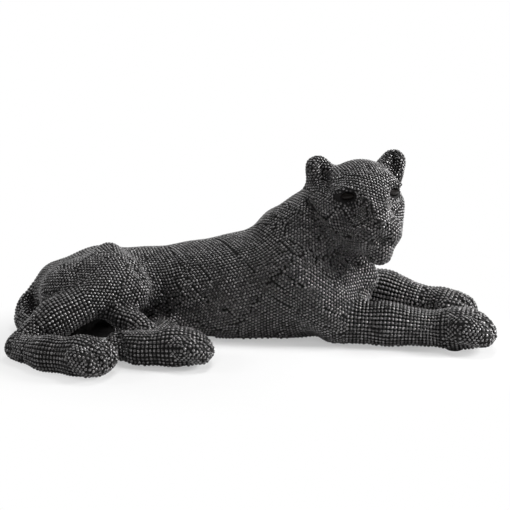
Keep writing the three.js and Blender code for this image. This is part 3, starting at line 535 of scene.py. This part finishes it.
def neighbours(p, reach):
    i, j, k = bucket(p)
    found = []
    for a in (i - 1, i, i + 1):
        for b in (j - 1, j, j + 1):
            for c in (k - 1, k, k + 1):
                for q in buckets.get((a, b, c), ()):
                    if (seats[q] - p).length < reach:
                        found.append(q)
    return found


def take(p, n, pitch, slack, held=False):
    for q in neighbours(p, max(pitch, 0.0048) * 1.2):
        if (seats[q] - p).length < slack * 0.5 * (pitch + pitches[q]):
            return None
    if not above_the_table(p, n) or not seen_from_outside(p, n):
        return None
    index = len(seats)
    seats.append(p)
    seat_normals.append(n)
    pitches.append(pitch)
    fixed.append(held)
    buckets.setdefault(bucket(p), []).append(index)
    return index


# %% First rows: the spine and the middle of the face
BODY_PITCH = 0.0037
FACE_PITCH = 0.0034
front = []


def first_row(rays, pitch):
    last = None
    count = 0
    for start, direction in rays:
        hit = skin.ray_cast(start, direction)
        if hit[0] is None or (last is not None and (hit[0] - last).length < pitch):
            continue
        index = take(hit[0], hit[1], pitch, 0.8, True)
        if index is not None:
            front.append(index)
            last = hit[0]
            count += 1
    return count


def face_ray(degrees):
    out = forward * math.cos(math.radians(degrees)) + upward * math.sin(math.radians(degrees))
    return skull + out * 0.12, -out


spine = [(-236, 22), (-205, 22), (-160, 13), (-112, 8), (-60, 5), (-12, 3), (28, 0), (62, -8)]
xs = np.arange(-236, 62, 0.15)
ys = np.interp(xs, [p[0] for p in spine], [p[1] for p in spine])
print("face row:", first_row([face_ray(a) for a in np.arange(-55, 118, 0.2)], FACE_PITCH))
print("spine row:", first_row([(at(x, y, 400), Vector((0, 0, -1))) for x, y in zip(xs, ys)], BODY_PITCH))


# %% Sleeves of studs round the legs and the tail
def sleeve(joints, radius, step, row):
    places = [at(*j) for j in joints]
    lengths = [(b - a).length for a, b in zip(places, places[1:])]
    rows = round(2 * math.pi * radius / row)
    count = 0
    for i in range(int(sum(lengths) / step) + 1):
        gone, k = i * step, 0
        while k < len(lengths) - 1 and gone > lengths[k]:
            gone -= lengths[k]
            k += 1
        share = gone / lengths[k]
        centre = places[k].lerp(places[k + 1], share)
        here = (places[k + 1] - places[k]).normalized()
        other = here
        if share > 0.5 and k + 2 < len(places):
            other = (places[k + 2] - places[k + 1]).normalized()
        elif share <= 0.5 and k > 0:
            other = (places[k] - places[k - 1]).normalized()
        axis = here.lerp(other, abs(share - 0.5)).normalized()
        side = axis.cross(upward).normalized()
        up = side.cross(axis)
        for j in range(rows):
            a = 2 * math.pi * j / rows
            out = side * math.cos(a) + up * math.sin(a)
            hit = skin.ray_cast(centre + out * radius * 2, -out)
            if hit[0] is None or not 0.5 < (hit[0] - centre).length / radius < 1.5 or hit[1].dot(out) < 0.55:
                continue
            index = take(hit[0], hit[1], 0.5 * (step + row), 0.84, True)
            if index is not None:
                front.append(index)
                count += 1
    return count


limbs = {
    "near foreleg": ([(100, -53, 20), (140, -58, 19), (196, -68, 17), (208, -74, 19), (242, -80, 17)],
                     0.0208, 0.0039),
    "far foreleg": ([(112, 52, 29), (148, 45, 23), (200, 24, 16), (209, 19, 16), (238, 8, 13)], 0.0225, 0.0042),
    "near hind foot": ([(-231, -109, 11), (-192, -136, 12), (-162, -153, 15), (-134, -166, 13)], 0.017, 0.0038),
    "far hind foot": ([(-130, -108, 13), (-104, -119, 12), (-74, -125, 15), (-40, -124, 13)], 0.017, 0.0038),
    "shank": ([(-165, -72, 46), (-196, -84, 33), (-229, -102, 16)], 0.018, 0.0039),
    "tail": ([(-229, 18, 34), (-243, 5, 22), (-243, -14, 10), (-224, -42, 9), (-190, -54, 12)], 0.0105, 0.0039),
    "end of the tail": ([(-146, -66, 37), (-131, -81, 34), (-115, -88, 31), (-102, -96, 23), (-107, -108, 15)],
                        0.0097, 0.0039),
}
for name, (joints, radius, pitch) in limbs.items():
    print(name + ":", sleeve(joints, radius, pitch, pitch))


# %% Grow outwards from the first rows
def own_pitch(p):
    """Small studs on the face, the usual ones elsewhere, and a slow change between."""
    share = min(max(((p - skull).length - 0.050) / 0.030, 0), 1)
    return FACE_PITCH + (BODY_PITCH - FACE_PITCH) * share


def grow(queue, slack):
    begun = len(seats)
    place = 0
    while place < len(queue):
        i = queue[place]
        place += 1
        p, n, pitch = seats[i], seat_normals[i], own_pitch(seats[i])
        near = [q for q in neighbours(p, pitch * 1.28) if q != i]
        offers = [p + n.orthogonal().normalized() * pitch] if not near else []
        for q in near:
            edge = seats[q] - p
            if edge.length < 1e-6:
                continue
            side = n.cross(edge.normalized())
            height = math.sqrt(max(pitch * pitch - edge.length_squared / 4, (0.5 * pitch) ** 2))
            offers += [p + edge * 0.5 + side * height, p + edge * 0.5 - side * height]
        for offer in offers:
            if any((seats[q] - offer).length < 0.8 * pitch for q in near):
                continue
            seat, normal, _, gap = skin.find_nearest(offer)
            if seat is None or gap > 0.6 * pitch or normal.dot(n) < 0.2:
                continue
            index = take(seat, normal, own_pitch(seat), slack)
            if index is not None:
                queue.append(index)
    return len(seats) - begun


print("grown:", grow(list(front), 0.90), "all:", len(seats))

# %% [markdown]
# ## Evening the studs out
#
# Where two fronts meet, the rows don't fit, and the eye finds that line at once. A workman nudges the studs apart
# until the misfit is spread over many of them. Here each stud is pushed away from those that stand too close, the
# push is laid back onto the skin, and the gaps that open are filled with new ones.

# %% Nudge and fill
def nudge(rounds, strength):
    count = len(seats)
    places = np.array([tuple(p) for p in seats])
    normals = np.array([tuple(n) for n in seat_normals])
    pitch = np.array(pitches)
    free = ~np.array(fixed)
    pairs = [(i, q) for i in range(count) for q in neighbours(seats[i], pitches[i] * 1.45) if q > i]
    a, b = np.array(pairs).T
    want = 0.5 * (pitch[a] + pitch[b]) * 0.98
    for _ in range(rounds):
        gap = places[b] - places[a]
        far = np.linalg.norm(gap, axis=1)
        push = np.clip(want - far, 0, None)[:, None] * gap / far[:, None]
        move = np.zeros_like(places)
        np.add.at(move, a, -push * strength)
        np.add.at(move, b, push * strength)
        move -= normals * (move * normals).sum(1)[:, None]
        size = np.linalg.norm(move, axis=1)
        move *= np.minimum(1, 0.0006 / np.maximum(size, 1e-9))[:, None]
        for i in np.nonzero(free & (size > 0.00002))[0]:
            hit = skin.find_nearest(Vector(places[i] + move[i]))
            if hit[0] is not None and hit[1].dot(Vector(normals[i])) > 0.4:
                places[i] = hit[0]
                normals[i] = hit[1]
    buckets.clear()
    for i in range(count):
        seats[i] = Vector(places[i])
        seat_normals[i] = Vector(normals[i])
        buckets.setdefault(bucket(seats[i]), []).append(i)


def fill_islands():
    """Starts again wherever the fronts could not reach, such as behind a paw."""
    begun = len(seats)
    for vertex in former.data.vertices:
        p = vertex.co.copy()
        pitch = own_pitch(p)
        if not neighbours(p, pitch * 0.95):
            index = take(p, vertex.normal.copy(), pitch, 0.9)
            if index is not None:
                grow([index], 0.90)
    return len(seats) - begun


print("islands:", fill_islands())
for _ in range(2):
    print("filled:", grow(list(range(len(seats))), 0.80), "all:", len(seats))
    nudge(5, 0.25)

# %% [markdown]
# ## One stud
#
# A stud is a low dome a little under four millimetres across, with a skirt that goes into the skin so that no light
# shows under it. With nearly seventeen thousand of them each has only a few dozen faces. A cone with its tip cut
# off is the start; its top face is inset and raised twice, and merging the last one to a point closes the dome.

# %% Model the stud
def stud_shape():
    bpy.ops.object.select_all(action="DESELECT")
    bpy.ops.mesh.primitive_cone_add(vertices=7, radius1=0.51, radius2=0.46, depth=0.28, location=(0, 0, -0.01),
                                    end_fill_type="NGON")
    obj = bpy.context.object
    obj.name = "stud_pattern"
    bpy.ops.object.mode_set(mode="EDIT")
    bpy.ops.mesh.select_mode(type="FACE")
    bpy.ops.mesh.select_all(action="DESELECT")
    made = bmesh.from_edit_mesh(obj.data)
    for face in made.faces:
        face.select = face.normal.z > 0.9
    bmesh.update_edit_mesh(obj.data)
    bpy.ops.mesh.inset(thickness=0.11, depth=0.18)
    bpy.ops.mesh.inset(thickness=0.18, depth=0.11)
    bpy.ops.mesh.merge(type="CENTER")
    bpy.ops.mesh.select_all(action="DESELECT")
    made = bmesh.from_edit_mesh(obj.data)
    for face in made.faces:
        face.select = face.normal.z < -0.9
    bmesh.update_edit_mesh(obj.data)
    bpy.ops.mesh.delete(type="ONLY_FACE")
    bpy.ops.mesh.select_all(action="SELECT")
    bpy.ops.mesh.quads_convert_to_tris()
    bpy.ops.object.mode_set(mode="OBJECT")
    return obj


pattern = stud_shape()
stud_points = points_of(pattern)
stud_points[stud_points[:, 2] > 0.36, 2] += 0.015
stud_faces = np.array([list(p.vertices) for p in pattern.data.polygons])
bpy.data.objects.remove(pattern)
print("a stud has", len(stud_faces), "faces and is", round(float(np.ptp(stud_points[:, 2])), 3), "pitches tall")

# %% [markdown]
# ## Copying the stud to every seat
#
# Each copy stands along the skin's normal, leans a little at random as a hand-set stud does, and carries two
# numbers for its material: how high up the stud a point is, and a random tone of its own. Studs are gathered by
# the part of the body they cover, so that no piece grows too heavy.

# %% Lay the copies
def lay(name, chosen):
    count = len(chosen)
    rng = np.random.default_rng(11 + len(name))
    place = np.array([tuple(seats[i]) for i in chosen])
    up = np.array([tuple(seat_normals[i]) for i in chosen]) + rng.normal(0, 0.15, (count, 3))
    up /= np.linalg.norm(up, axis=1)[:, None]
    side = np.cross(up, [1, 0.01, 0.02])
    side /= np.linalg.norm(side, axis=1)[:, None]
    turn_by = rng.uniform(0, 2 * math.pi, count)[:, None]
    first = side * np.cos(turn_by) + np.cross(up, side) * np.sin(turn_by)
    second = np.cross(up, first)
    size = (np.array([pitches[i] for i in chosen]) * rng.uniform(0.97, 1.03, count))[:, None, None]
    x, y, z = (stud_points[None, :, i:i + 1] for i in range(3))
    points = place[:, None, :] + (first[:, None, :] * x + second[:, None, :] * y + up[:, None, :] * z) * size
    faces = stud_faces[None] + (np.arange(count) * len(stud_points))[:, None, None]
    mesh = bpy.data.meshes.new(name)
    mesh.from_pydata([], [], [])
    mesh.vertices.add(count * len(stud_points))
    mesh.vertices.foreach_set("co", points.ravel().astype(np.float32))
    mesh.loops.add(faces.size)
    mesh.loops.foreach_set("vertex_index", faces.ravel().astype(np.int32))
    mesh.polygons.add(faces.size // 3)
    mesh.polygons.foreach_set("loop_start", np.arange(0, faces.size, 3, dtype=np.int32))
    mesh.polygons.foreach_set("loop_total", np.full(faces.size // 3, 3, dtype=np.int32))
    mesh.update()
    height = np.clip((stud_points[:, 2] + 0.05) / (stud_points[:, 2].max() + 0.05), 0, 1)
    crown = mesh.attributes.new("crown", "FLOAT", "POINT")
    crown.data.foreach_set("value", np.tile(height, count).astype(np.float32))
    tone = mesh.attributes.new("tone", "FLOAT", "POINT")
    tone.data.foreach_set("value", np.repeat(rng.uniform(0, 1, count), len(stud_points)).astype(np.float32))
    mesh.shade_smooth()
    obj = bpy.data.objects.new(name, mesh)
    bpy.context.scene.collection.objects.link(obj)
    return obj


HEAD_REACH = 66  # the sculptor's millimetres


def region(p):
    if (p - skull).length < HEAD_REACH * measure:
        return "studs_head"
    q = back_to_sculptor(p)
    if q.x > 96:
        return "studs_forelegs"
    if q.x < -88:
        return "studs_hindquarters_far" if q.y > -30 else "studs_hindquarters_near"
    return "studs_flank_far" if q.y > 0 else "studs_flank_near"


chosen = {}
for i, p in enumerate(seats):
    chosen.setdefault(region(p), []).append(i)
studs = [lay(name, members) for name, members in sorted(chosen.items())]
for piece in studs:
    print(piece.name, len(piece.data.polygons), "faces")

# %% [markdown]
# ## The finish of the studs
#
# The studs are black resin, rubbed and waxed: dark charcoal with a warm cast, and on the crowns as bright as
# graphite, which lies between lacquer and metal. Down the sides of each stud the colour runs to near black, which
# is painted shade for the gaps between the studs. The two numbers on each stud drive that: towards the crown the
# colour is lighter, the surface smoother, and Metallic and the clear coat rise.
# Each stud differs a little from the next. What is the same all over, such as the coat's gloss, is set on the
# shader itself.

# %% Stud resin
def stud_resin():
    made, shader, where = material("stud_resin", Specular_IOR_Level=0.3, Coat_Roughness=0.13, Coat_IOR=2.6)
    crown = where.node("ShaderNodeAttribute", {"attribute_name": "crown"}, out=2)
    tone = where.node("ShaderNodeAttribute", {"attribute_name": "tone"}, out=2)
    patches = noise(where, 38.0, 4.0)
    # painted shade: low on each stud the colour runs to near black where the gaps between studs lie in shade; tone
    # and patches are the resin's own random variation
    light = crown.between(0.3, 0.9) * (0.35 + 0.65 * tone) * (0.4 + 1.2 * patches)
    feed(shader, "Base Color", light.mix((0.0012, 0.0010, 0.0010), (0.100, 0.091, 0.092)))
    feed(shader, "Metallic", 0.6 * crown.between(0.4, 0.9))
    feed(shader, "Roughness", 0.42 - 0.12 * crown + 0.1 * tone)
    feed(shader, "Coat Weight", crown.between(0.4, 0.9) * (0.3 + 0.7 * tone))
    feed(shader, "Normal", bump(noise(where, 900.0, 2.0), 0.0004, 0.5))
    return made


resin = stud_resin()
for piece in studs:
    piece.data.materials.append(resin)
    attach(piece, "figure")
print("studs:", sum(len(p.data.polygons) for p in studs) // len(stud_faces))

# %% [markdown]
# ## The bare resin
#
# Under and between the studs, on the soles and inside the hollow, the casting is bare. Resin that was poured into a
# mould and not polished is satin, faintly mottled, with pinholes. Here it is coloured darker than the studs' own
# resin, as painted shade for the gaps between them.

# %% Cast resin and the shells
def bare_resin():
    made, shader, where = material("cast_resin", Specular_IOR_Level=0.2)
    cloud = noise(where, 26.0, 5.0)
    fine = noise(where, 420.0, 3.0)
    # painted shade: both colours are darker than the studs' resin, so this skin, seen mostly in the gaps between
    # studs, reads as shade
    feed(shader, "Base Color", cloud.mix((0.0042, 0.0038, 0.0038), (0.014, 0.0128, 0.0128)))
    feed(shader, "Roughness", 0.52 + 0.22 * fine)
    feed(shader, "Normal", bump(fine, 0.0006, 0.35))
    return made


cast = bare_resin()
for shell, name in ((body_shell, "body_casting"), (head_shell, "head_casting")):
    shell.data.materials.clear()
    shell.data.materials.append(cast)
    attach(shell, "figure")
    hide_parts(name)
bpy.data.objects.remove(former)
print("shells:", len(body_shell.data.polygons), len(head_shell.data.polygons))

# %% [markdown]
# ## Eyes, feet and the lamp inside
#
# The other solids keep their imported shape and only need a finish. The record names a material slot for each node,
# so one loop can give every node its own. Metals differ mostly in how their roughness is broken up: zinc plating
# is even with a faint spangle, brass from a stamping press is satin with rub marks. Porcelain has a clear glaze
# over white clay, old bakelite is mottled, and felt is all short fibres with no gloss at all.

# %% A finish for each slot of the record
def polished_eye():
    made, shader, where = material("polished_eye", Specular_IOR_Level=0.05, Coat_Weight=0.16, Coat_Roughness=0.10)
    ring = noise(where, 160.0, 2.0)
    feed(shader, "Base Color", ring.mix((0.0040, 0.0033, 0.0029), (0.0150, 0.0125, 0.0110)))
    feed(shader, "Roughness", 0.30 + 0.1 * ring)
    return made


def wool_felt():
    made, shader, where = material("wool_felt", Specular_IOR_Level=0.1)
    fibres = noise(where, 1500.0, 4.0, 0.7)
    feed(shader, "Base Color", fibres.mix((0.012, 0.012, 0.013), (0.060, 0.060, 0.064)))
    feed(shader, "Roughness", 0.9 + 0.1 * fibres)
    feed(shader, "Normal", bump(fibres, 0.0006, 0.9))
    return made


def metal(name, dark, light, rough, grain):
    made, shader, where = material(name, Metallic=1.0)
    spangle = noise(where, grain, 3.0)
    rubbed = noise(where, 60.0, 5.0, 0.65)
    feed(shader, "Base Color", spangle.mix(dark, light))
    feed(shader, "Roughness", rough + 0.22 * rubbed)
    feed(shader, "Normal", bump(rubbed, 0.0003, 0.25))
    return made


def porcelain():
    made, shader, where = material("glazed_porcelain", Coat_Weight=0.9, Coat_Roughness=0.07)
    cloud = noise(where, 70.0, 4.0)
    specks = noise(where, 1400.0, 1.0).between(0.70, 0.74)
    body = cloud.mix((0.66, 0.62, 0.54), (0.80, 0.77, 0.71))
    feed(shader, "Base Color", specks.mix(body, (0.30, 0.22, 0.15)))
    feed(shader, "Roughness", 0.35 + 0.2 * cloud)
    return made


def moulded(name, dark, light, rough, grain, gloss=0.5):
    made, shader, where = material(name, Specular_IOR_Level=gloss)
    flow = where.node("ShaderNodeMapping", {}, {"Vector": where, "Scale": (1.0, 0.35, 1.0)})
    streaks = noise(flow, grain, 5.0, 0.6)
    feed(shader, "Base Color", streaks.mix(dark, light))
    feed(shader, "Roughness", rough + 0.15 * streaks)
    feed(shader, "Normal", bump(noise(where, 1800.0, 2.0), 0.0002, 0.2))
    return made


def clear_glass():
    made, shader, where = material("clear_glass", Transmission_Weight=1.0, IOR=1.5, Base_Color=(0.97, 0.98, 0.97))
    feed(shader, "Roughness", 0.01 + 0.05 * noise(where, 90.0, 3.0))
    return made


finishes = {
    "eye": polished_eye(),
    "felt": wool_felt(),
    "zinc": metal("zinc_plate", (0.40, 0.41, 0.43), (0.58, 0.59, 0.60), 0.22, 700.0),
    "brass": metal("stamped_brass", (0.42, 0.28, 0.09), (0.66, 0.47, 0.18), 0.20, 240.0),
    "tungsten": metal("tungsten_wire", (0.10, 0.10, 0.11), (0.22, 0.22, 0.23), 0.35, 900.0),
    "ceramic": porcelain(),
    "glass": clear_glass(),
    "bakelite": moulded("mottled_bakelite", (0.010, 0.005, 0.003), (0.055, 0.026, 0.014), 0.20, 130.0),
    "nylon": moulded("terminal_nylon", (0.60, 0.58, 0.51), (0.74, 0.72, 0.66), 0.42, 60.0),
    "rubber": moulded("grommet_rubber", (0.006, 0.006, 0.006), (0.022, 0.021, 0.020), 0.62, 200.0, 0.2),
    "brown": moulded("brown_insulation", (0.075, 0.032, 0.014), (0.13, 0.058, 0.026), 0.38, 300.0),
    "blue": moulded("blue_insulation", (0.010, 0.045, 0.13), (0.022, 0.080, 0.22), 0.38, 300.0),
}
for subpart in frame["record"]["subparts"]:
    finish = finishes.get(subpart["material_slot"])
    if finish:
        for slot in node[subpart["node"]].material_slots:
            slot.material = finish
print("finishes:", ", ".join(sorted(finishes)))
